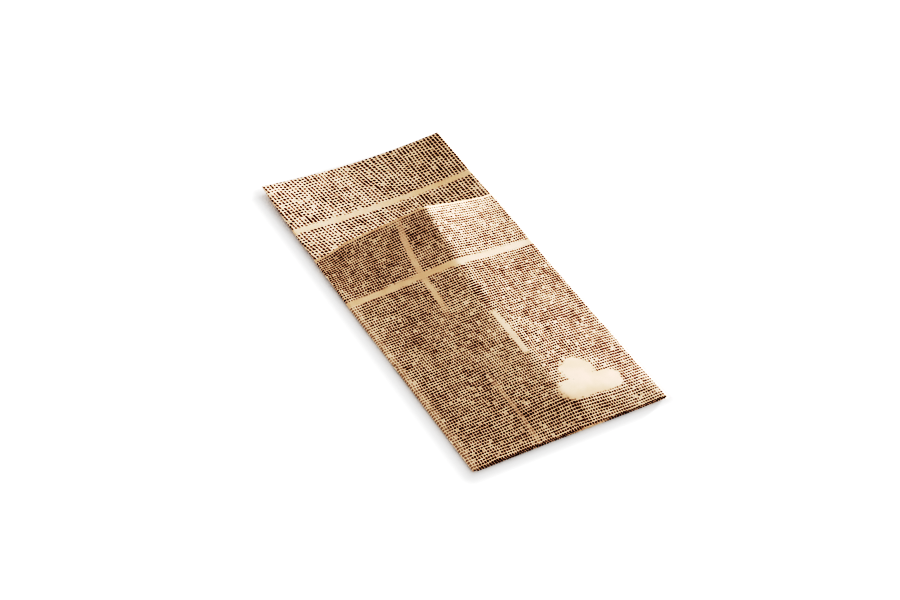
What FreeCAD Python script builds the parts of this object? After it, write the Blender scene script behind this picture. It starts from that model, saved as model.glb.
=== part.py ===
import FreeCAD, Part
import math
import os

# A cutlery-pocket paper napkin, folded from one printed sheet and lying on its back.
# The sheet is folded up once along the bottom edge, so that a short front leg lies on a
# longer back leg. Both sides are then turned behind, the left side first, which leaves a
# pocket between the two legs of the middle panel. The front of the pocket has lifted into
# a leaning ridge, and the top edge of the back curls up a little.
# Millimetres. X runs across the napkin, Y towards its top edge and Z up from its back.

# Folded outline
folded_width = 112.0
folded_length = 230.0
pocket_depth = 170.0

# How far each turned side stops short of the opposite fold
left_flap_shortfall = 3.0
right_flap_shortfall = 3.0

# Paper, and the air left between two layers that lie on each other
paper_thickness = 0.26
layer_gap = 0.16

# Lifted front of the pocket. The ridge is highest at the mouth, stands off from the right
# edge there and leans to the left on its way down. A low shoulder runs by the right fold.
ridge_rise = 8.8
ridge_from_right = 44.0
ridge_lean = 18.0
shoulder_rise = 2.4
shoulder_width = 12.0

# Powers of the rise: along the napkin from the bottom fold, and across it up to the ridge
rise_along = 2.2
rise_across = 1.5

# Curl of the top edge above the mouth
top_edge_rise = 2.0

# Number of steps between the poles of the lifted front
left_slope_steps = 5
right_slope_steps = 3
shoulder_steps = 2
front_steps = 6

layer_step = paper_thickness + layer_gap
outer_bend = (layer_step + paper_thickness) / 2
inner_bend = (layer_step - paper_thickness) / 2
bottom_fold_y = outer_bend

# Middle height of each doubled layer above the surface that the napkin lies on
right_flap_level = outer_bend
left_flap_level = right_flap_level + 2 * layer_step
panel_level = left_flap_level + 2 * layer_step

left_fold_level = (left_flap_level + panel_level) / 2
left_fold_radius = (panel_level - left_flap_level) / 2
left_fold_x = left_fold_radius + outer_bend
right_fold_level = (right_flap_level + panel_level) / 2
right_fold_radius = (panel_level - right_flap_level) / 2
right_fold_x = folded_width - right_fold_radius - outer_bend
left_flap_end = folded_width - left_flap_shortfall
right_flap_end = right_flap_shortfall

# The lowest layer that reaches the top edge lies one step up, and curls on this radius
top_reach = folded_length - pocket_depth
curl_angle = 2 * math.atan(top_edge_rise / top_reach)
curl_radius = top_reach / math.sin(curl_angle)
curl_axis = FreeCAD.Vector(0, pocket_depth, layer_step + curl_radius)

across_axis = FreeCAD.Vector(1, 0, 0)
along_axis = FreeCAD.Vector(0, 1, 0)


def line(start, end):
    """Straight edge between two points."""
    return Part.makeLine(FreeCAD.Vector(*start), FreeCAD.Vector(*end))


def half_circle(start, middle, end):
    """Half a circle through three points."""
    return Part.Arc(FreeCAD.Vector(*start), FreeCAD.Vector(*middle), FreeCAD.Vector(*end)).toShape()


def side_fold(x, y, level, radius, side):
    """Turn of a layer round the left fold (side -1) or the right fold (side 1), top end first."""
    return half_circle((x, y, level + radius), (x + side * radius, y, level), (x, y, level - radius))


def section(offset, y):
    """Edges across the sheet at the height offset outwards from the doubled layer's middle."""
    left, right = left_flap_level - offset, right_flap_level - offset
    panel = panel_level + offset
    return [line((left_flap_end, y, left), (left_fold_x, y, left)),
            side_fold(left_fold_x, y, left_fold_level, left_fold_radius + offset, -1),
            line((left_fold_x, y, panel), (right_fold_x, y, panel)),
            side_fold(right_fold_x, y, right_fold_level, right_fold_radius + offset, 1),
            line((right_fold_x, y, right), (right_flap_end, y, right))]


def bottom_bend(x, level, radius):
    """Turn of one side of the sheet round the bottom fold."""
    return half_circle((x, bottom_fold_y, level + radius), (x, bottom_fold_y - radius, level),
                       (x, bottom_fold_y, level - radius))


def curled(shape):
    """What a point or an edge at the mouth sweeps as the back leg curls up to its top edge."""
    return shape.revolve(curl_axis, across_axis, math.degrees(curl_angle))


def spread(start, end, steps):
    """Evenly spaced values from start to end."""
    return [start + (end - start) * i / steps for i in range(steps + 1)]


def ridge_x(y):
    """Place of the ridge across the napkin at the length y."""
    return folded_width - ridge_from_right - ridge_lean * (pocket_depth - y) / pocket_depth


def rise(x, y):
    """Lift of the pocket's front above its flat lie."""
    ridge = ridge_x(y)
    shoulder = right_fold_x - shoulder_width
    if x <= ridge:
        turn = math.pi / 2 * (x - left_fold_x) / (ridge - left_fold_x)
        height = ridge_rise * math.sin(turn) ** rise_across
    elif x <= shoulder:
        height = ridge_rise + (shoulder_rise - ridge_rise) * (x - ridge) / (shoulder - ridge)
    else:
        height = shoulder_rise * (1 + math.cos(math.pi * (x - shoulder) / shoulder_width)) / 2
    return height * ((y - bottom_fold_y) / (pocket_depth - bottom_fold_y)) ** rise_along


def stations(y):
    """Places of the poles across the lifted front, which close up on both sides of the ridge."""
    ridge = ridge_x(y)
    shoulder = right_fold_x - shoulder_width
    left = [left_fold_x + (ridge - left_fold_x) * math.sin(turn)
            for turn in spread(0, math.pi / 2, left_slope_steps)]
    right = [shoulder - (shoulder - ridge) * math.cos(turn)
             for turn in spread(0, math.pi / 2, right_slope_steps)]
    return left + right[1:] + spread(shoulder, right_fold_x, shoulder_steps)[1:]


def lifted_row(y, radius):
    """Poles across the lifted front at the length y."""
    return [FreeCAD.Vector(x, y, panel_level + radius + rise(x, y)) for x in stations(y)]


def even_knots(count):
    """Knots and multiplicities of an even cubic with this many poles, clamped at its ends."""
    spans = count - 3
    return list(range(spans + 1)), [4] + [1] * (spans - 1) + [4]


def lifted_front(radius):
    """One side of the pocket's front."""
    rows = [lifted_row(y, radius) for y in spread(bottom_fold_y, pocket_depth, front_steps)]
    row_knots, row_mults = even_knots(len(rows))
    pole_knots, pole_mults = even_knots(len(rows[0]))
    surface = Part.BSplineSurface()
    surface.buildFromPolesMultsKnots(rows, row_mults, pole_mults, row_knots, pole_knots,
                                     False, False, 3, 3)
    return surface.toShape()


def lifted_mouth(radius):
    """Edge of the pocket's front at the mouth."""
    poles = lifted_row(pocket_depth, radius)
    knots, mults = even_knots(len(poles))
    curve = Part.BSplineCurve()
    curve.buildFromPolesMultsKnots(poles, mults, knots, False, 3)
    return curve.toShape()


def sheet_side(radius):
    """Faces of one side of the sheet, named by its radius at the bottom fold."""
    leg = along_axis * (pocket_depth - bottom_fold_y)
    front = [edge.extrude(leg) for edge in section(radius, bottom_fold_y)]
    front[2] = lifted_front(radius)
    back = [edge.extrude(leg) for edge in section(-radius, bottom_fold_y)]
    top = [curled(edge) for edge in section(-radius, pocket_depth)]
    bottom = [bottom_bend(left_flap_end, left_flap_level, radius).extrude(
                  across_axis * (left_fold_x - left_flap_end)),
              bottom_bend(left_fold_x, left_flap_level, radius).revolve(
                  FreeCAD.Vector(left_fold_x, 0, left_fold_level), along_axis, 180),
              bottom_bend(left_fold_x, panel_level, radius).extrude(
                  across_axis * (right_fold_x - left_fold_x)),
              bottom_bend(right_fold_x, panel_level, radius).revolve(
                  FreeCAD.Vector(right_fold_x, 0, right_fold_level), along_axis, 180),
              bottom_bend(right_fold_x, right_flap_level, radius).extrude(
                  across_axis * (right_flap_end - right_fold_x))]
    return front + back + top + bottom


def cut_face(outer, inner, ends):
    """Flat face of the paper's thickness, between its two sides and two end points of each."""
    closing = [Part.makeLine(*pair) for pair in ends]
    return Part.Face(Part.Wire(Part.__sortEdges__(outer + inner + closing)))


def mouth_face():
    """Cut edge of the front leg, through the panel and both flaps."""
    sides = []
    for radius in (outer_bend, inner_bend):
        edges = section(radius, pocket_depth)
        edges[2] = lifted_mouth(radius)
        sides.append(edges)
    return cut_face(*sides, flap_ends(pocket_depth, 1))


def top_face():
    """Cut edge of the back leg, turned up with the curl."""
    sides = [section(-radius, pocket_depth) for radius in (outer_bend, inner_bend)]
    face = cut_face(*sides, flap_ends(pocket_depth, -1))
    face.rotate(curl_axis, across_axis, math.degrees(curl_angle))
    return face


def flap_ends(y, leg):
    """Pairs of points across the paper at the flaps' ends: leg is 1 in front and -1 in the back."""
    return [[FreeCAD.Vector(x, y, level - leg * radius) for radius in (outer_bend, inner_bend)]
            for x, level in ((left_flap_end, left_flap_level), (right_flap_end, right_flap_level))]


def flap_face(x, level):
    """Cut edge along the end of a flap, from the mouth round the bottom fold to the top edge."""
    sides = []
    corners = []
    for radius in (outer_bend, inner_bend):
        front, back = level - radius, level + radius
        corner = FreeCAD.Vector(x, pocket_depth, back)
        sides.append([line((x, pocket_depth, front), (x, bottom_fold_y, front)),
                      bottom_bend(x, level, radius),
                      line((x, bottom_fold_y, back), (x, pocket_depth, back)),
                      curled(Part.Vertex(corner))])
        turn = FreeCAD.Rotation(across_axis, math.degrees(curl_angle))
        corners.append([FreeCAD.Vector(x, pocket_depth, front),
                        curl_axis + turn.multVec(corner - curl_axis)])
    return cut_face(*sides, list(zip(*corners)))


def folded_sheet():
    """The whole sheet as one closed solid, centred on its folded outline."""
    cuts = [mouth_face(), top_face(), flap_face(left_flap_end, left_flap_level),
            flap_face(right_flap_end, right_flap_level)]
    solid = Part.Solid(Part.makeShell(sheet_side(outer_bend) + sheet_side(inner_bend) + cuts))
    if solid.Volume < 0:
        solid.reverse()
    solid.translate(FreeCAD.Vector(-folded_width / 2, -folded_length / 2, 0))
    return solid


def flat_size():
    """Width and length of the sheet before it is folded, along the middle of the paper."""
    panel = right_fold_x - left_fold_x
    flaps = left_flap_end - left_fold_x + right_fold_x - right_flap_end
    side_folds = math.pi * (left_fold_radius + right_fold_radius)
    legs = 2 * (pocket_depth - bottom_fold_y)
    bend = math.pi * layer_step / 2
    return panel + flaps + side_folds, legs + bend + curl_radius * curl_angle


os.makedirs("parts", exist_ok=True)
napkin = folded_sheet()
napkin.exportStep("parts/napkin.step")
sheet_width, sheet_length = flat_size()
print("flat sheet", round(sheet_width, 1), "x", round(sheet_length, 1), "mm")
print("valid", napkin.isValid(), "closed", napkin.isClosed(), "faces", len(napkin.Faces))
print("volume", round(napkin.Volume, 1), "expected", round(sheet_width * sheet_length * paper_thickness, 1))
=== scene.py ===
import math

import bpy
import numpy as np
from mathutils import Matrix, Vector, noise


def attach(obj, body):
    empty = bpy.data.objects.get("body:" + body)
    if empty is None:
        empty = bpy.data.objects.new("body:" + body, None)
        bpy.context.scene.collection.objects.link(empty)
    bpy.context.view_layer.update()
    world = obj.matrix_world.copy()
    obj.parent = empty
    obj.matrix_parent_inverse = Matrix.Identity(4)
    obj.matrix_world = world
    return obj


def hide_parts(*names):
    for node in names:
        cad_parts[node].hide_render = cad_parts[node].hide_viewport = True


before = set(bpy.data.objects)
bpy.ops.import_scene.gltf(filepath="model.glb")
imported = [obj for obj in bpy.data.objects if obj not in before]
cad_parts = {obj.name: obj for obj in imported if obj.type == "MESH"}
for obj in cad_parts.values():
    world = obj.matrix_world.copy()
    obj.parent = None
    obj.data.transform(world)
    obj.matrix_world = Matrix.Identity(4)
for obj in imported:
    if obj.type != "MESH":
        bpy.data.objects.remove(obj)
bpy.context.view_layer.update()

# A pocket napkin: one printed paper sheet, folded up along its bottom edge and then
# turned in from both sides. The sheet's mesh is worked out along the same folds as the solid,
# with the lift of the pocket's front and the soft unevenness of real paper added.
# Metres. X runs across the napkin, Y towards its top edge and Z up from the table.

mm = 0.001

# Folded outline
folded_width = 112 * mm
folded_length = 230 * mm
pocket_depth = 170 * mm
flap_shortfall = 3 * mm

# Paper, and the step from one layer to the next that lies on it
paper_thickness = 0.26 * mm
layer_step = 0.42 * mm
bend_radius = layer_step / 2
outer_bend = bend_radius + paper_thickness / 2

# Middle height of each doubled layer, and the side folds that join them
right_flap_level = outer_bend
left_flap_level = right_flap_level + 2 * layer_step
panel_level = left_flap_level + 2 * layer_step
left_fold_radius = (panel_level - left_flap_level) / 2
right_fold_radius = (panel_level - right_flap_level) / 2
left_fold_x = left_fold_radius + outer_bend
right_fold_x = folded_width - right_fold_radius - outer_bend
bottom_fold_y = outer_bend

# Lifted front of the pocket: the ridge leans from the mouth down, with a crease on it that
# softens towards the bottom fold. Its left slope is part tent and part rounded, each with the
# power of its rise, and its right slope falls with a power of its own
ridge_rise = 8.8 * mm
ridge_at_mouth = 69 * mm
ridge_lean = 14 * mm
rise_along = 2.2
rise_across = 1.5
tent_share = 0.58
tent_power = 1.6
fall_across = 1.25
crease_at_mouth = 2.4 * mm
crease_at_fold = 16 * mm

# Soft swell of the front below the ridge: its height, its crest across the napkin, and where
# along the napkin it has grown and where it ends
swell_rise = 4.1 * mm
swell_crest = 65 * mm
swell_start = 20 * mm
swell_end = 132 * mm
swell_rounding = 0.08

# Curl of the back panel: its corners stand up, and its middle settles on the table. The
# corners' lift grows from a share of it at the mouth, and below the mouth it dies away
corner_rise = 3.9 * mm
corner_power = 1.8
corner_growth = 1.2
corner_share_at_mouth = 0.25
corner_reach = 40 * mm
top_edge_rise = 0.4 * mm
top_edge_power = 2
settle_length = 16 * mm

# Lift of the right edge beside the mouth
right_edge_rise = 1.6 * mm
right_lift_start = 60 * mm
right_lift_length = 52 * mm

# Unevenness of the paper: height and length of its waves, and how far its folds and edges
# wander sideways and along the napkin. Each has its own seed
wave_height, wave_length, wave_seed = 0.30 * mm, 34 * mm, 3.1
ripple_height, ripple_length, ripple_seed = 0.07 * mm, 9 * mm, 8.7
edge_wander = 0.35 * mm
side_wander_length, side_wander_seed = 60 * mm, 5.2
end_wander_length, end_wander_seed = 45 * mm, 1.4

# Slant of the turned sides' ends, as length along the napkin for each length across it
left_flap_skew = 0.004
right_flap_skew = 0.0024

# The mouth's left end hangs a little lower than the rest of its edge
mouth_drop = 5.0 * mm
mouth_drop_width = 26 * mm
mouth_drop_length = 40 * mm

# Spacing of the mesh
panel_step = 1.2 * mm
left_flap_step = 4.5 * mm
right_flap_step = 2.2 * mm
front_step = 1.4 * mm
hidden_step = 4.5 * mm
side_fold_turns = 10
bottom_fold_turns = 8

# The part's one picture, as shares: across the sheet from the left flap's end to the right
# flap's end, along the outer and the inner skin from their top edge, then the heights that the
# skins and the strips of the cut edge take in the picture
across_parts = (0.04, 0.01, 0.60, 0.01, 0.34)
outer_parts = (0.05, 0.95)
inner_parts = (0.80, 0.08, 0.02, 0.10)
picture_margin = 0.002
outer_top = 0.680
inner_bottom = 0.700
inner_top = 0.968
rim_bottom = 0.972
rim_strip = 0.0065
rim_fill = 0.8


def even(start, end, step):
    """Evenly spaced places from start to end, about one step apart."""
    return np.linspace(start, end, max(2, round(abs(end - start) / step) + 1))


def joined(runs):
    """Runs of columns or rows as one array, each without the place that it shares with the last."""
    return np.vstack([run if i == 0 else run[1:] for i, run in enumerate(runs)])


def flat_run(places, level, side):
    """Columns along a flat layer: x, z and the outward direction of the fold's outer side."""
    return np.array([(x, level, 0, side) for x in places])


def turned_run(x, z, radius, start, end):
    """Columns round a side fold."""
    return np.array([(x + radius * math.cos(a), z + radius * math.sin(a), math.cos(a), math.sin(a))
                     for a in np.radians(np.linspace(start, end, side_fold_turns + 1))])


def columns_across():
    """Places across the sheet, from the end of the left flap to the end of the right one."""
    left_end = folded_width - flap_shortfall
    right_end = flap_shortfall
    return joined([
        flat_run(even(left_end, left_fold_x, left_flap_step), left_flap_level, -1),
        turned_run(left_fold_x, (left_flap_level + panel_level) / 2, left_fold_radius, -90, -270),
        flat_run(even(left_fold_x, right_fold_x, panel_step), panel_level, 1),
        turned_run(right_fold_x, (right_flap_level + panel_level) / 2, right_fold_radius, 90, -90),
        flat_run(even(right_fold_x, right_end, right_flap_step), right_flap_level, -1)])


def rows_along():
    """Places along the sheet, from the top edge down the back leg and up the front leg to the
    mouth: y, then the offset and the direction of the paper's outer side, out of the layer and
    along Y."""
    back = [(y, -bend_radius, -1, 0) for y in np.concatenate([
        even(folded_length, pocket_depth - front_step, front_step),
        even(pocket_depth - front_step, bottom_fold_y, hidden_step)[1:]])]
    bend = [(bottom_fold_y - bend_radius * math.sin(a), -bend_radius * math.cos(a),
             -math.cos(a), -math.sin(a)) for a in np.linspace(0, math.pi, bottom_fold_turns + 1)]
    front = [(y, bend_radius, 1, 0) for y in even(bottom_fold_y, pocket_depth, front_step)]
    return joined([np.array(run) for run in (back, bend, front)])


def smooth(value):
    """Soft step from 0 to 1."""
    value = np.clip(value, 0, 1)
    return value * value * (3 - 2 * value)


def uneven(x, y, length, seed):
    """Smooth noise from -1 to 1 over the napkin."""
    values = [noise.noise(Vector((a / length, b / length, seed)))
              for a, b in zip(x.ravel(), y.ravel())]
    return np.array(values).reshape(x.shape)


def front_rise(x, y):
    """Lift of the pocket's front above the layers under it: up to the ridge and down again."""
    along = np.clip((y - bottom_fold_y) / (pocket_depth - bottom_fold_y), 0, 1)
    ridge = ridge_at_mouth - ridge_lean * (1 - along)
    up = np.clip((x - left_fold_x) / (ridge - left_fold_x), 0, 1)
    rounded = np.sin(math.pi / 2 * up) ** rise_across
    up = tent_share * up ** tent_power + (1 - tent_share) * rounded
    crease = crease_at_fold + (crease_at_mouth - crease_at_fold) * along
    past = x - ridge
    past = (past + np.sqrt(past ** 2 + crease ** 2)) / 2
    fall = 1 - np.clip(1 - past / (right_fold_x - ridge), 0, 1) ** fall_across
    return np.clip(up - fall, 0, 1) * ridge_rise * along ** rise_along + front_swell(x, y)


def front_swell(x, y):
    """Soft swell of the pocket's front, which carries on below the low end of the ridge."""
    left = np.clip((x - left_fold_x) / (swell_crest - left_fold_x), 0, 1)
    right = np.clip((right_fold_x - x) / (right_fold_x - swell_crest), 0, 1)
    lower = np.exp(-left / swell_rounding) + np.exp(-right / swell_rounding)
    across = np.clip(-swell_rounding * np.log(lower), 0, 1)
    along = smooth((y - bottom_fold_y) / swell_start)
    along = along * (1 - smooth((y - swell_start) / (swell_end - swell_start)))
    return swell_rise * across * along


def whole_lift(x, y):
    """Lift of all the layers together off the table."""
    past_mouth = np.clip((y - pocket_depth) / (folded_length - pocket_depth), 0, 1)
    aside = np.abs(2 * np.clip(x / folded_width, 0, 1) - 1) ** corner_power
    along = corner_share_at_mouth * np.exp(-(np.minimum(y - pocket_depth, 0) / corner_reach) ** 2)
    along = along + (1 - corner_share_at_mouth) * past_mouth ** corner_growth
    corners = corner_rise * aside * along
    right = np.clip((x - right_lift_start) / (folded_width - right_lift_start), 0, 1) ** rise_across
    right = right_edge_rise * right * np.exp(-((y - pocket_depth) / right_lift_length) ** 2)
    return corners + right + top_edge_rise * past_mouth ** top_edge_power


def settled(columns, y):
    """Drop of the back leg past the mouth, where the front leg no longer parts its layers."""
    level = columns[:, 1][:, None]
    drop = layer_step + (np.minimum(level, left_flap_level) - right_flap_level) / 2
    return drop * smooth((y - pocket_depth) / settle_length)


def paper_waves(x, y):
    """Slight unevenness that all the layers share, always upwards."""
    waves = wave_height * (1 + uneven(x, y, wave_length, wave_seed)) / 2
    return waves + ripple_height * (1 + uneven(x, y, ripple_length, ripple_seed)) / 2


def run_length(places):
    """Length along the sheet up to each column or row."""
    return np.concatenate([[0], np.cumsum(np.hypot(*np.diff(places[:, :2], axis=0).T))])


def put_in_scene(name, data):
    """A new object with this mesh, lamp or camera."""
    made = bpy.data.objects.new(name, data)
    bpy.context.scene.collection.objects.link(made)
    return made


def sheet_points():
    """Middle of the paper, its outward direction and its print places, as grids of points."""
    columns, rows = columns_across(), rows_along()
    x, z, out_x, out_z = (columns[:, i][:, None] for i in range(4))
    y, offset, out, out_y = (rows[:, i][None, :] for i in range(4))
    y = y + 0 * x
    middle = np.stack([x + out_x * offset, y, z + out_z * offset], -1)
    outward = np.stack([out_x * out, out_y + 0 * x, out_z * out], -1)

    s = run_length(columns)
    t = run_length(rows)
    panel_start = np.argmax((columns[:, 3] == 1) & (columns[:, 2] == 0))
    bottom = len(rows) - np.count_nonzero(rows[:, 2] == 1)
    place_x = s[:, None] - s[panel_start] + left_fold_x + 0 * y
    place_y = t[None, :] - t[bottom] + bottom_fold_y + 0 * y
    return middle, outward, place_x, place_y, columns, rows


def shaped(middle, columns, rows):
    """The middle of the paper with its lift, its waves and its slightly crooked folds."""
    x, y = middle[..., 0], middle[..., 1]
    is_front = (rows[:, 2] == 1)[None, :]
    is_panel = ((columns[:, 3] == 1) & (columns[:, 2] == 0))[:, None]
    lift = np.where(is_front & is_panel, front_rise(x, y), 0)
    lift = lift + whole_lift(x, y) + paper_waves(x, y) - settled(columns, y)

    is_flap = (columns[:, 3] == -1)[:, None]
    above_right_flap = columns[:, 1][:, None] > left_flap_level - layer_step / 4
    skew = np.where(above_right_flap, left_flap_skew * (x - left_fold_x),
                    -right_flap_skew * (right_fold_x - x))
    skew = np.where(is_flap, skew, 0) * smooth(y / folded_length)
    drop = mouth_drop * (1 - smooth(x / mouth_drop_width))
    drop = drop * smooth(1 + (y - pocket_depth) / mouth_drop_length)
    drop = np.where(is_front & above_right_flap, drop, 0)
    shift_x = edge_wander * uneven(x, y, side_wander_length, side_wander_seed)
    shift_y = edge_wander * uneven(x, y, end_wander_length, end_wander_seed) + skew - drop
    return middle + np.stack([shift_x, shift_y, lift], -1)


def skin_faces(count_s, count_t, first, flipped):
    """Quads of one side of the sheet."""
    i, j = np.meshgrid(np.arange(count_s - 1), np.arange(count_t - 1), indexing="ij")
    a = (first + i * count_t + j).ravel()
    quads = np.stack([a, a + count_t, a + count_t + 1, a + 1], -1)
    return quads[:, ::-1] if flipped else quads


def rim_faces(count_s, count_t):
    """Quads of the cut edge, all the way round the sheet."""
    total = count_s * count_t
    ring = [i * count_t for i in range(count_s)]
    ring += [(count_s - 1) * count_t + j for j in range(1, count_t)]
    ring += [i * count_t + count_t - 1 for i in range(count_s - 2, -1, -1)]
    ring += list(range(count_t - 2, 0, -1))
    ring = np.array(ring)
    following = np.roll(ring, -1)
    return np.stack([following, ring, ring + total, following + total], -1)


def shares(place, marks, parts):
    """Places stretched so that each stretch between two marks takes its part of 0 to 1."""
    return np.interp(place, marks, np.concatenate([[0], np.cumsum(parts)]) / sum(parts))


def picture_places(columns, rows, faces):
    """Places of the faces' corners in the part's one picture. The skins that show get most of
    it: the panel and the right flap, and on them the front leg and the back leg past the mouth."""
    s = run_length(columns)
    t = run_length(rows)
    folds = np.flatnonzero(np.abs(columns[:, 2]) > 1e-6)
    left, right = folds[:side_fold_turns - 1], folds[-(side_fold_turns - 1):]
    turns = [0, left[0] - 1, left[-1] + 1, right[0] - 1, right[-1] + 1, -1]
    across = shares(s, s[turns], across_parts)
    mouth = np.argmin(np.abs(rows[:, 0] - pocket_depth) + (rows[:, 2] == 1))
    bend_end = len(rows) - np.count_nonzero(rows[:, 2] == 1)
    bend = bend_end - bottom_fold_turns
    outer = shares(t, t[[0, bend, -1]], outer_parts)
    outer = picture_margin + outer * (outer_top - picture_margin)
    inner = shares(t, t[[0, mouth, bend, bend_end, -1]], inner_parts)
    inner = inner_bottom + inner * (inner_top - inner_bottom)
    across = picture_margin + across * (1 - 2 * picture_margin)
    corners = [np.stack(np.meshgrid(*skin, indexing="ij"), -1).reshape(-1, 2)
               for skin in ((across, outer), (1 - across, inner))]
    skins = np.concatenate(corners)[faces[:2 * (len(s) - 1) * (len(t) - 1)].ravel()]

    sides = (len(s) - 1, len(t) - 1, len(s) - 1, len(t) - 1)
    rim = []
    for strip, count in enumerate(sides):
        low = rim_bottom + strip * rim_strip
        high = low + rim_strip * rim_fill
        for i in range(count):
            start, end = i / count, (i + 1) / count
            rim += [(end, high), (start, high), (start, low), (end, low)]
    return np.concatenate([skins, np.array(rim)])


def paper_sheet():
    """The folded sheet as one closed mesh, with the places of its print on it."""
    middle, outward, place_x, place_y, columns, rows = sheet_points()
    middle = shaped(middle, columns, rows)
    count_s, count_t = middle.shape[:2]
    sides = [middle + outward * paper_thickness / 2, middle - outward * paper_thickness / 2]
    points = np.concatenate([side.reshape(-1, 3) for side in sides])
    points -= np.array([folded_width / 2, folded_length / 2, points[:, 2].min()])
    skins = [skin_faces(count_s, count_t, 0, False),
             skin_faces(count_s, count_t, count_s * count_t, True)]
    faces = np.concatenate(skins + [rim_faces(count_s, count_t)])

    mesh = bpy.data.meshes.new("napkin_sheet")
    mesh.from_pydata(points.tolist(), [], faces.tolist())
    print_place = mesh.attributes.new("print_place", "FLOAT_VECTOR", "POINT")
    side_mark = np.repeat([0.0, 1.0], count_s * count_t)
    places = np.stack([np.tile(place_x.ravel(), 2), np.tile(place_y.ravel(), 2), side_mark], -1)
    print_place.data.foreach_set("vector", places.astype(np.float32).ravel())
    cut = np.arange(len(faces)) >= sum(len(skin) for skin in skins)
    mesh.polygons.foreach_set("use_smooth", ~cut)
    mesh.polygons.foreach_set("material_index", cut.astype(np.int32))
    picture = mesh.uv_layers.new(name="OFBake")
    corners = picture_places(columns, rows, faces)
    picture.data.foreach_set("uv", corners.astype(np.float32).ravel())
    mesh.validate()
    mesh.update()
    return put_in_scene("napkin_sheet", mesh)


# Shader helpers


def add_node(tree, kind, **settings):
    """A new node with these settings."""
    node = tree.nodes.new(kind)
    for name, value in settings.items():
        setattr(node, name, value)
    return node


def feed(tree, socket, value):
    """Sets a socket to a number, or links another socket to it."""
    if isinstance(value, bpy.types.NodeSocket):
        tree.links.new(value, socket)
    else:
        socket.default_value = value


def maths(tree, operation, *values):
    """One Math node on numbers or sockets."""
    node = add_node(tree, "ShaderNodeMath", operation=operation)
    for socket, value in zip(node.inputs, values):
        feed(tree, socket, value)
    return node.outputs[0]


def vector_maths(tree, operation, *values):
    """One Vector Math node on vectors or sockets."""
    node = add_node(tree, "ShaderNodeVectorMath", operation=operation)
    for socket, value in zip([s for s in node.inputs if s.enabled], values):
        feed(tree, socket, value)
    return node.outputs["Value" if operation == "LENGTH" else "Vector"]


def product(tree, factors):
    """All the factors multiplied."""
    result = factors[0]
    for factor in factors[1:]:
        result = maths(tree, "MULTIPLY", result, factor)
    return result


def weighed(tree, parts):
    """Sum of two numbers or sockets, each times its share."""
    return maths(tree, "ADD", *(maths(tree, "MULTIPLY", value, share) for value, share in parts))


def combined(tree, x, y, z):
    """A vector from three numbers or sockets."""
    node = add_node(tree, "ShaderNodeCombineXYZ")
    for socket, value in zip(node.inputs, (x, y, z)):
        feed(tree, socket, value)
    return node.outputs[0]


def separated(tree, vector):
    """The three parts of a vector."""
    node = add_node(tree, "ShaderNodeSeparateXYZ")
    feed(tree, node.inputs[0], vector)
    return node.outputs


plain_detail = 2.0


def cloudy(tree, vector, scale, detail):
    """Noise texture from 0 to 1 about 0.5."""
    node = add_node(tree, "ShaderNodeTexNoise", noise_dimensions="3D")
    feed(tree, node.inputs["Vector"], vector)
    node.inputs["Scale"].default_value = scale
    node.inputs["Detail"].default_value = detail
    return node.outputs


def about_zero(tree, vector, scale):
    """Noise about zero, from -0.5 to 0.5."""
    return maths(tree, "SUBTRACT", cloudy(tree, vector, scale, plain_detail)["Fac"], 0.5)


def ramp(tree, value, start, end, low=0.0, high=1.0):
    """Smooth change from low to high as the value goes from start to end."""
    node = add_node(tree, "ShaderNodeMapRange", interpolation_type="SMOOTHSTEP")
    for name, number in (("Value", value), ("From Min", start), ("From Max", end),
                         ("To Min", low), ("To Max", high)):
        feed(tree, node.inputs[name], number)
    return node.outputs["Result"]


def mixed(tree, kind, factor, first, second):
    """Mix of two numbers or colours."""
    node = add_node(tree, "ShaderNodeMix", data_type=kind)
    index = {"FLOAT": 2, "RGBA": 6}[kind]
    feed(tree, node.inputs[0], factor)
    for socket, value in ((node.inputs[index], first), (node.inputs[index + 1], second)):
        feed(tree, socket, (*value, 1.0) if isinstance(value, tuple) else value)
    return node.outputs[index // 3]


NUMBER = "NodeSocketFloat"
VECTOR = "NodeSocketVector"


def new_group(name, inputs, outputs):
    """An empty node group with named inputs and outputs."""
    tree = bpy.data.node_groups.new(name, "ShaderNodeTree")
    for label, kind in inputs:
        tree.interface.new_socket(label, in_out="INPUT", socket_type=kind)
    for label, kind in outputs:
        tree.interface.new_socket(label, in_out="OUTPUT", socket_type=kind)
    return tree, add_node(tree, "NodeGroupInput").outputs, add_node(tree, "NodeGroupOutput").inputs


def placed(tree, group, **values):
    """A node group in a material, with its inputs given by name."""
    node = add_node(tree, "ShaderNodeGroup", node_tree=group)
    for name, value in values.items():
        feed(tree, node.inputs[name.replace("_", " ").capitalize()], value)
    return node.outputs


def new_material(name):
    """A material, its node tree and its shader."""
    material = bpy.data.materials.new(name)
    material.use_nodes = True
    return material, material.node_tree, material.node_tree.nodes["Principled BSDF"]


# Woven print, with its lengths in millimetres. The marks' grid drifts a little over the sheet,
# and the marks of one line slide against those of the next
drift_scale = 0.028
slide_length = 45.0
slide_between_lines = 0.45
slide_seed = 11.0

# Threads that cross the lines change over the first length along a line and run on for the
# second. Threads along the lines change over a length, and from line to line by a step
crossing_thread = (1.3, 28.0)
crossing_seed = 2.0
along_thread = 9.0
along_step = 7.3
along_seed = 5.0

# Patches and specks where the print is denser or looser, and how far single marks differ
patch_scale = 0.075
speck_scale = 0.33
length_spread = 0.26
width_spread = 0.20

# Edge of a mark: its rounded corners, its raggedness and its softness. A few marks are faint
mark_rounding = 0.25
ragged_scale = 2.2
ragged_depth = 0.4
mark_softness = 0.06
faint_share = 0.08
faint_ink = 0.45


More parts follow.
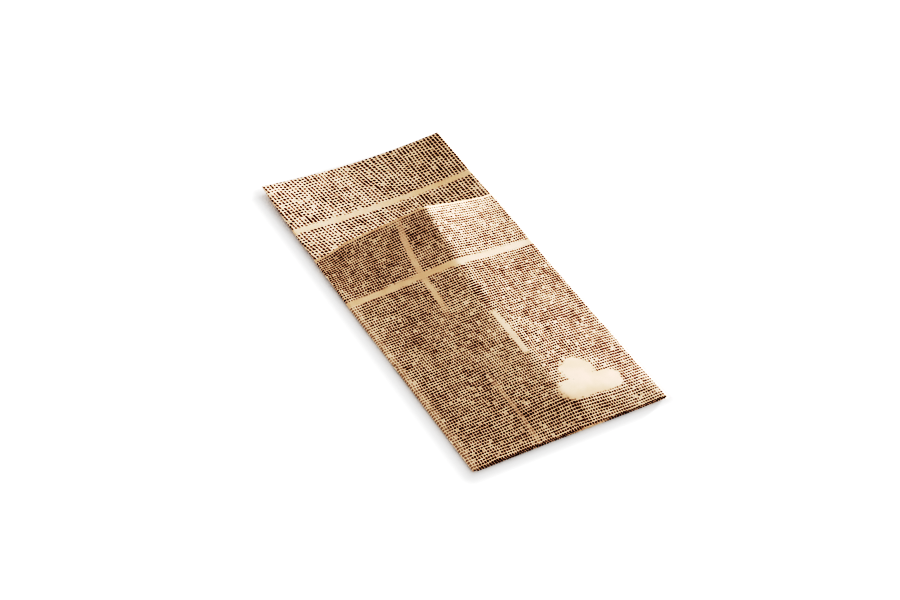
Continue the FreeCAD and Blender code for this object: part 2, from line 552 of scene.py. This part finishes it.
def woven_print_group():
    """Dark marks left between printed threads, from places in millimetres: U runs along a line
    of marks and V across the lines."""
    tree, given, made = new_group(
        "woven print",
        [("Place", VECTOR)] + [(label, NUMBER) for label in (
            "Mark pitch", "Line pitch", "Mark gap", "Line gap", "Stagger", "Wander",
            "Patchiness", "Swing")],
        [("Ink", NUMBER)])
    place = given["Place"]
    drift = cloudy(tree, place, drift_scale, plain_detail)["Color"]
    drift = vector_maths(tree, "SUBTRACT", drift, (0.5, 0.5, 0.5))
    reach = combined(tree, given["Wander"], given["Wander"], 0.0)
    drift = vector_maths(tree, "MULTIPLY", drift, reach)
    u, v, _ = separated(tree, vector_maths(tree, "ADD", place, drift))
    line = maths(tree, "DIVIDE", v, given["Line pitch"])
    line_index = maths(tree, "FLOOR", line)

    slide = combined(tree, maths(tree, "DIVIDE", u, slide_length),
                     maths(tree, "MULTIPLY", line_index, slide_between_lines), slide_seed)
    slide = maths(tree, "MULTIPLY", about_zero(tree, slide, 1.0), given["Stagger"])
    mark = maths(tree, "ADD", maths(tree, "DIVIDE", u, given["Mark pitch"]), slide)
    mark_index = maths(tree, "FLOOR", mark)
    cell = add_node(tree, "ShaderNodeTexWhiteNoise", noise_dimensions="2D")
    feed(tree, cell.inputs["Vector"], combined(tree, mark_index, line_index, 0.0))
    length_chance, width_chance, faint_chance = separated(tree, cell.outputs["Color"])

    crossing = combined(tree, maths(tree, "DIVIDE", u, crossing_thread[0]),
                        maths(tree, "DIVIDE", v, crossing_thread[1]), crossing_seed)
    along = combined(tree, maths(tree, "DIVIDE", u, along_thread),
                     maths(tree, "MULTIPLY", line_index, along_step), along_seed)
    crossing, along = about_zero(tree, crossing, 1.0), about_zero(tree, along, 1.0)
    patch = maths(tree, "MULTIPLY", about_zero(tree, place, patch_scale), given["Patchiness"])
    speck = maths(tree, "MULTIPLY", about_zero(tree, place, speck_scale), given["Patchiness"])
    looser = maths(tree, "ADD", patch, speck)

    past = []
    for pitch, position, gap, thread, chance, spread in (
            ("Mark pitch", mark, "Mark gap", crossing, length_chance, length_spread),
            ("Line pitch", line, "Line gap", along, width_chance, width_spread)):
        cover = maths(tree, "ADD", given[gap], looser)
        cover = maths(tree, "MULTIPLY_ADD", thread, given["Swing"], cover)
        cover = maths(tree, "MULTIPLY_ADD", maths(tree, "SUBTRACT", chance, 0.5), spread, cover)
        half = maths(tree, "MULTIPLY", maths(tree, "SUBTRACT", 1.0, cover), 0.5)
        beside = maths(tree, "SUBTRACT", maths(tree, "FRACT", position), 0.5)
        beside = maths(tree, "SUBTRACT", maths(tree, "ABSOLUTE", beside), half)
        past.append(maths(tree, "MULTIPLY", beside, given[pitch]))
    ragged = maths(tree, "MULTIPLY", about_zero(tree, place, ragged_scale), ragged_depth)
    edge = maths(tree, "ADD", maths(tree, "SMOOTH_MAX", *past, mark_rounding), ragged)
    strength = ramp(tree, faint_chance, 0.0, faint_share, faint_ink, 1.0)
    inside = ramp(tree, edge, mark_softness, -mark_softness)
    feed(tree, made["Ink"], maths(tree, "MULTIPLY", inside, strength))
    return tree


# Ragged edge of an unprinted strip, in millimetres, and of a patch, as shares of its size
strip_edge_scale = 0.3
strip_edge_depth = 2.0
strip_softness = 0.6
patch_edge_scale = 0.45
patch_edge_depth = 1.8
patch_edge = (0.75, 1.25)


def bare_strip_group():
    """Strip left unprinted, from the distance to its middle in millimetres."""
    tree, given, made = new_group(
        "bare strip", [("Place", VECTOR), ("Distance", NUMBER), ("Width", NUMBER)],
        [("Printed", NUMBER)])
    uneven_edge = about_zero(tree, given["Place"], strip_edge_scale)
    uneven_edge = maths(tree, "MULTIPLY", uneven_edge, strip_edge_depth)
    half = maths(tree, "MULTIPLY", given["Width"], 0.5)
    past = maths(tree, "SUBTRACT", maths(tree, "ABSOLUTE", given["Distance"]), half)
    past = maths(tree, "ADD", past, uneven_edge)
    feed(tree, made["Printed"], ramp(tree, past, -strip_softness, strip_softness))
    return tree


def outside_oval(tree, place, x, y, middle_x, middle_y, half_x, half_y, power):
    """1 outside a rounded patch with a slightly ragged edge, and 0 inside it."""
    parts = []
    for axis, middle, half in ((x, middle_x, half_x), (y, middle_y, half_y)):
        part = maths(tree, "DIVIDE", maths(tree, "SUBTRACT", axis, middle), half)
        parts.append(maths(tree, "POWER", maths(tree, "ABSOLUTE", part), power))
    ragged = about_zero(tree, place, patch_edge_scale)
    ragged = maths(tree, "MULTIPLY", ragged, patch_edge_depth)
    return ramp(tree, maths(tree, "ADD", maths(tree, "ADD", *parts), ragged), *patch_edge)


# Matted paper fibres: scale and detail of the fine ones, of the strands, which are stretched,
# and of the clouds, and the shares of fine ones and clouds, and of fine ones and strands
fine_fibres = (3.0, 4.0)
fibre_strands = (1.4, 3.0)
strand_stretch = (1.0, 4.0, 1.0)
fibre_clouds = (0.09, 3.0)
mottle_shares = (0.4, 0.6)
relief_shares = (0.6, 0.4)


def paper_fibre_group():
    """Mottle and height of matted paper fibres, from places in millimetres."""
    tree, given, made = new_group("paper fibres", [("Place", VECTOR)],
                                  [("Mottle", NUMBER), ("Height", NUMBER)])
    place = given["Place"]
    stretched = vector_maths(tree, "MULTIPLY", place, strand_stretch)
    fine = cloudy(tree, place, *fine_fibres)["Fac"]
    strands = cloudy(tree, stretched, *fibre_strands)["Fac"]
    clouds = cloudy(tree, place, *fibre_clouds)["Fac"]
    feed(tree, made["Mottle"], weighed(tree, zip((fine, clouds), mottle_shares)))
    feed(tree, made["Height"], weighed(tree, zip((fine, strands), relief_shares)))
    return tree


# Weave on the front. The shift along the napkin lays a line of marks on the bottom fold
front_weave = dict(mark_pitch=1.45, line_pitch=1.70, stagger=1.2, wander=3.5, patchiness=0.26,
                   swing=0.35)
front_mark_gap = 0.25
front_line_gap = 0.31
front_weave_shift = (0.0, 0.85, 0.0)

# Share of the gaps that is left where the front's print is denser. Each change gives the places
# where it starts and ends, and the shares there
denser_to_right = (58.0, 76.0, 1.0, 0.76)
less_at_right_edge = (98.0, 112.0, 0.0, 0.95)
less_by_band = (107.0, 127.0, 0.0, 0.93)
less_by_bottom_fold = (15.0, 38.0, 1.0, 0.0)

# Print on the front, in millimetres from the left edge and the bottom fold. The horizontal
# band tilts a little
front_band_y = 127.2
front_band_tilt = 0.012
front_band_width = 4.0

# The upright band steps to the right on its way up and bows to the right at its top: by how
# much, from where and over what length. It narrows on its way down, fades out below the
# horizontal band, shows again faintly near the bottom fold and is faint at the mouth. Each fade
# gives the places where it starts and ends, and the share that is printed over there
upright_base_x = 36.8
upright_step = (5.5, 70.0, 45.0)
upright_bow = (8.0, 114.0, 54.0)
upright_narrow_y = 60.0
upright_narrow_width = 1.6
upright_full_width = 3.2
faded_below_band = (92.0, 112.0, 1.0, 0.15)
faded_near_fold = (32.0, 60.0, 0.6, 1.0)
faded_at_mouth = (146.0, 168.0, 0.0, 0.6)

# Short stripe, from its low end to its high end
stripe_x = 62.0
stripe_y = (54.0, 88.0)
stripe_width = 3.0
stripe_end_softness = 1.0

# Rounded bare places at the lower right, and two small patches of denser print, each with its
# middle and its half sizes
bare_disc = (78.0, 33.0, 9.0, 9.0)
bare_bar = (79.0, 21.5, 17.5, 6.6)
dense_patches = ((63.0, 104.0, 2.6, 10.0), (2.8, 73.6, 2.4, 1.3))
oval_power = 2.0
bar_power = 4.0

# Bare margin at the mouth, and ink thinned along the left fold up to the horizontal band
mouth_margin = 1.3
margin_softness = 0.3
# The thinned ink along the fold is a painted highlight, where the flattened fold catches more light
fold_highlight_span = (0.9, 3.0, 0.70, 1.0)
fold_highlight_end = 4.0

# Weave on the back, whose lines run along the napkin and lean to the left, less so on the right
back_weave = dict(mark_pitch=2.1, line_pitch=2.08, mark_gap=0.24, line_gap=0.385, stagger=2.2,
                  wander=3.0, patchiness=0.26, swing=0.70)
back_weave_x = 173.0
back_weave_y = 311.0
back_weave_seed = 40.0
back_lean = (50.0, 85.0, -0.16, -0.02)
back_lean_y = 200.0

# Band on the back, above the mouth
back_band_y = 190.3
back_band_tilt = 0.022
back_band_width = 3.8


def upright_band(tree, place, x, y, strip):
    """1 beside the upright band and 0 on it."""
    step, step_start, step_length = upright_step
    bow, bow_start, bow_length = upright_bow
    centre = ramp(tree, y, step_start, step_start + step_length,
                  upright_base_x, upright_base_x + step)
    up = maths(tree, "MAXIMUM", maths(tree, "SUBTRACT", y, bow_start), 0.0)
    up = maths(tree, "MULTIPLY", up, up)
    centre = maths(tree, "MULTIPLY_ADD", up, bow / bow_length ** 2, centre)
    width = ramp(tree, y, upright_narrow_y, front_band_y, upright_narrow_width, upright_full_width)
    distance = maths(tree, "SUBTRACT", x, centre)
    band = placed(tree, strip, place=place, distance=distance, width=width)["Printed"]
    fade = maths(tree, "MINIMUM", ramp(tree, y, *faded_below_band), ramp(tree, y, *faded_near_fold))
    fade = maths(tree, "MAXIMUM", fade, ramp(tree, y, *faded_at_mouth))
    return maths(tree, "MAXIMUM", band, fade)


def short_stripe(tree, place, x, y, strip):
    """1 beside the short stripe and 0 on it."""
    distance = maths(tree, "SUBTRACT", x, stripe_x)
    stripe = placed(tree, strip, place=place, distance=distance, width=stripe_width)["Printed"]
    start, end = stripe_y
    beyond = maths(tree, "ABSOLUTE", maths(tree, "SUBTRACT", y, (start + end) / 2))
    half = (end - start) / 2
    beyond = ramp(tree, beyond, half - stripe_end_softness, half + stripe_end_softness)
    return maths(tree, "MAXIMUM", stripe, beyond)


def front_ink(tree, place, x, y, weave):
    """Woven marks of the front, denser to the right and in two small patches."""
    loose = product(tree, [outside_oval(tree, place, x, y, *patch, oval_power)
                           for patch in dense_patches])
    gaps = ramp(tree, x, *denser_to_right)
    for change in (ramp(tree, x, *less_at_right_edge), ramp(tree, y, *less_by_band),
                   ramp(tree, y, *less_by_bottom_fold)):
        gaps = maths(tree, "MAXIMUM", gaps, change)
    shifted = vector_maths(tree, "ADD", place, front_weave_shift)
    return placed(tree, weave, place=shifted, mark_gap=product(tree, (loose, gaps, front_mark_gap)),
                  line_gap=maths(tree, "MULTIPLY", gaps, front_line_gap), **front_weave)["Ink"]


def front_print(tree, place, x, y, weave, strip):
    """Ink on the side of the sheet that is outermost in front, and where its threads run."""
    ink = front_ink(tree, place, x, y, weave)
    off_band = maths(tree, "MULTIPLY_ADD", x, -front_band_tilt, y)
    off_band = maths(tree, "SUBTRACT", off_band, front_band_y)
    band = placed(tree, strip, place=place, distance=off_band, width=front_band_width)["Printed"]
    upright = upright_band(tree, place, x, y, strip)
    stripe = short_stripe(tree, place, x, y, strip)
    disc = outside_oval(tree, place, x, y, *bare_disc, oval_power)
    bar = outside_oval(tree, place, x, y, *bare_bar, bar_power)
    mouth = pocket_depth / mm - mouth_margin
    margin = ramp(tree, y, mouth - margin_softness, mouth + margin_softness, 1.0, 0.0)
    threads = product(tree, (band, upright, stripe, disc, bar, margin))
    # Ink thinned along the left fold below the band: a painted highlight on the flattened fold
    fold_highlight = ramp(tree, maths(tree, "ABSOLUTE", x), *fold_highlight_span)
    above = ramp(tree, y, front_band_y - fold_highlight_end, front_band_y)
    fold_highlight = maths(tree, "MAXIMUM", fold_highlight, above)
    return product(tree, (ink, threads, fold_highlight)), threads


def back_print(tree, place, x, y, weave, strip):
    """Ink on the side of the sheet that shows above the mouth, and where its threads run. The
    place along this side falls towards the top edge."""
    lean = maths(tree, "ADD", y, back_lean_y)
    lean = maths(tree, "MULTIPLY", lean, ramp(tree, x, *back_lean))
    across = maths(tree, "ADD", maths(tree, "ADD", x, back_weave_x), lean)
    turned = combined(tree, maths(tree, "ADD", y, back_weave_y), across, back_weave_seed)
    ink = placed(tree, weave, place=turned, **back_weave)["Ink"]
    off_band = maths(tree, "MULTIPLY_ADD", x, back_band_tilt, y)
    off_band = maths(tree, "ADD", off_band, back_band_y)
    band = placed(tree, strip, place=turned, distance=off_band, width=back_band_width)["Printed"]
    return maths(tree, "MULTIPLY", ink, band), band


# Colours of the paper, of its printed threads and of the ink
tan_paper = (0.66, 0.465, 0.33)
light_paper = (0.74, 0.545, 0.41)
thread_paper = (0.88, 0.69, 0.535)
brown_ink = (0.060, 0.009, 0.003)
thread_share = 0.8
mottle_range = (0.38, 0.62)

# Finish of the paper
paper_gloss = 0.08
paper_roughness = 0.82
ink_roughness = 0.68
fibre_relief = 0.35
fibre_depth = 0.12 * mm
cut_roughness = (0.3, 0.7, 0.8, 0.95)


def paper_base(name):
    """A material with a soft paper shader, and the print places in millimetres."""
    material, tree, shader = new_material(name)
    shader.inputs["Specular IOR Level"].default_value = paper_gloss
    attribute = add_node(tree, "ShaderNodeAttribute", attribute_name="print_place")
    place = vector_maths(tree, "MULTIPLY", attribute.outputs["Vector"], (1 / mm, 1 / mm, 1.0))
    return material, tree, shader, place


def mottled_ground(tree, fibre):
    """Colour of the paper itself, with its cloudy mottle."""
    return mixed(tree, "RGBA", ramp(tree, fibre["Mottle"], *mottle_range), tan_paper, light_paper)


def printed_paper(weave, strip, fibres):
    """Tan paper with a dark woven print on both sides."""
    material, tree, shader, place = paper_base("printed_paper")
    x, y, side = separated(tree, place)
    flat_place = combined(tree, x, y, 0.0)
    front, front_threads = front_print(tree, flat_place, x, y, weave, strip)
    back, back_threads = back_print(tree, flat_place, x, y, weave, strip)
    is_back = maths(tree, "GREATER_THAN", side, 0.5)
    ink = mixed(tree, "FLOAT", is_back, front, back)
    threads = mixed(tree, "FLOAT", is_back, front_threads, back_threads)
    threads = maths(tree, "MULTIPLY", threads, thread_share)
    fibre = placed(tree, fibres, place=flat_place)
    ground = mixed(tree, "RGBA", threads, mottled_ground(tree, fibre), thread_paper)
    feed(tree, shader.inputs["Base Color"], mixed(tree, "RGBA", ink, ground, brown_ink))
    roughness = mixed(tree, "FLOAT", ink, paper_roughness, ink_roughness)
    feed(tree, shader.inputs["Roughness"], roughness)
    bump = add_node(tree, "ShaderNodeBump")
    bump.inputs["Strength"].default_value = fibre_relief
    bump.inputs["Distance"].default_value = fibre_depth
    feed(tree, bump.inputs["Height"], fibre["Height"])
    feed(tree, shader.inputs["Normal"], bump.outputs["Normal"])
    return material


def cut_edge(fibres):
    """The paper's own fibres at its cut edge."""
    material, tree, shader, place = paper_base("cut_edge")
    fibre = placed(tree, fibres, place=place)
    feed(tree, shader.inputs["Base Color"], mottled_ground(tree, fibre))
    feed(tree, shader.inputs["Roughness"], ramp(tree, fibre["Height"], *cut_roughness))
    return material


# Table, a little below the napkin. Its glow is faint right beside the napkin and full away from
# it, which keeps a soft dark rim: a painted shadow round the napkin
table_half = 3.0
table_gap = 0.05 * mm
table_white = (0.85, 0.85, 0.85, 1.0)
table_roughness = 0.8
table_glow = (0.02, 0.62)
painted_shadow_width = 10 * mm
white = (1.0, 1.0, 1.0, 1.0)


def white_with_painted_shadow():
    """White surface whose glow grows with the distance from the napkin's outline: a painted shadow
    beside the napkin.
    """
    material, tree, shader = new_material("white_table")
    shader.inputs["Base Color"].default_value = table_white
    shader.inputs["Roughness"].default_value = table_roughness
    shader.inputs["Specular IOR Level"].default_value = 0.0
    shader.inputs["Emission Color"].default_value = white
    place = add_node(tree, "ShaderNodeTexCoord").outputs["Object"]
    outline = (folded_width / 2, folded_length / 2, 1.0)
    beside = vector_maths(tree, "SUBTRACT", vector_maths(tree, "ABSOLUTE", place), outline)
    beside = vector_maths(tree, "MAXIMUM", beside, (0.0, 0.0, 0.0))
    # The low glow next to the napkin's outline is a painted shadow
    glow = ramp(tree, vector_maths(tree, "LENGTH", beside), 0.0, painted_shadow_width, *table_glow)
    feed(tree, shader.inputs["Emission Strength"], glow)
    return material


def white_table():
    """Large flat surface that the napkin lies on."""
    mesh = bpy.data.meshes.new("table_top")
    corners = [(x * table_half, y * table_half, -table_gap)
               for x, y in ((-1, -1), (1, -1), (1, 1), (-1, 1))]
    mesh.from_pydata(corners, [], [(0, 1, 2, 3)])
    mesh.materials.append(white_with_painted_shadow())
    put_in_scene("table_top", mesh)


# Low soft box on the right, which grazes the paper, and a pale surround
key_place = (0.684, 0.140, 0.054)
key_size = 0.09
key_power = 20.0
surround_strength = 0.60


def studio_light():
    """The soft box, turned to the napkin's middle, and the surround."""
    lamp = bpy.data.lights.new("key_light", "AREA")
    lamp.size = key_size
    lamp.energy = key_power
    light = put_in_scene("key_light", lamp)
    light.location = key_place
    light.rotation_euler = (-Vector(key_place)).to_track_quat("-Z", "Y").to_euler()
    world = bpy.data.worlds.new("pale_room")
    world.use_nodes = True
    background = world.node_tree.nodes["Background"]
    background.inputs["Color"].default_value = white
    background.inputs["Strength"].default_value = surround_strength
    bpy.context.scene.world = world


# Response of the photograph's film: darker shadows, bright middle tones and pale highlights
film_points = ((0.06, 0.006), (0.13, 0.036), (0.22, 0.190), (0.38, 0.57), (0.56, 0.78),
               (0.80, 0.900))


def film_look():
    """Tone curve of the view, from scene light to picture light."""
    view = bpy.context.scene.view_settings
    view.view_transform = "Standard"
    view.use_curve_mapping = True
    tones = view.curve_mapping.curves[3]
    for light, tone in film_points:
        tones.points.new(light, tone)
    view.curve_mapping.update()


# Camera at the photograph's angle, aimed at a point of the table close to the napkin's middle.
# Angles are in degrees, and the lens and the sensor in millimetres as Blender takes them
aim_point = (-5.2 * mm, -5.0 * mm, 0.0)
camera_distance = 1018.8 * mm
camera_azimuth = -33.02
camera_elevation = 42.62
camera_roll = 4.67
lens_length = 78.4
sensor_width = 36.0
nearest_view = 10 * mm


def photo_camera():
    """Camera that frames the napkin as the photograph does."""
    azimuth, elevation = math.radians(camera_azimuth), math.radians(camera_elevation)
    back = Vector((math.sin(azimuth) * math.cos(elevation),
                   -math.cos(azimuth) * math.cos(elevation), math.sin(elevation)))
    data = bpy.data.cameras.new("camera")
    data.lens = lens_length
    data.sensor_width = sensor_width
    data.clip_start = nearest_view
    camera = put_in_scene("camera", data)
    upright = (-back).to_track_quat("-Z", "Y").to_matrix()
    turned = upright @ Matrix.Rotation(math.radians(camera_roll), 3, "Z")
    place = Matrix.Translation(Vector(aim_point) + back * camera_distance)
    camera.matrix_world = place @ turned.to_4x4()
    bpy.context.scene.camera = camera


fibres = paper_fibre_group()
sheet = paper_sheet()
sheet.data.materials.append(printed_paper(woven_print_group(), bare_strip_group(), fibres))
sheet.data.materials.append(cut_edge(fibres))
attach(sheet, "root")
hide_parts("napkin")

white_table()
studio_light()
film_look()
photo_camera()
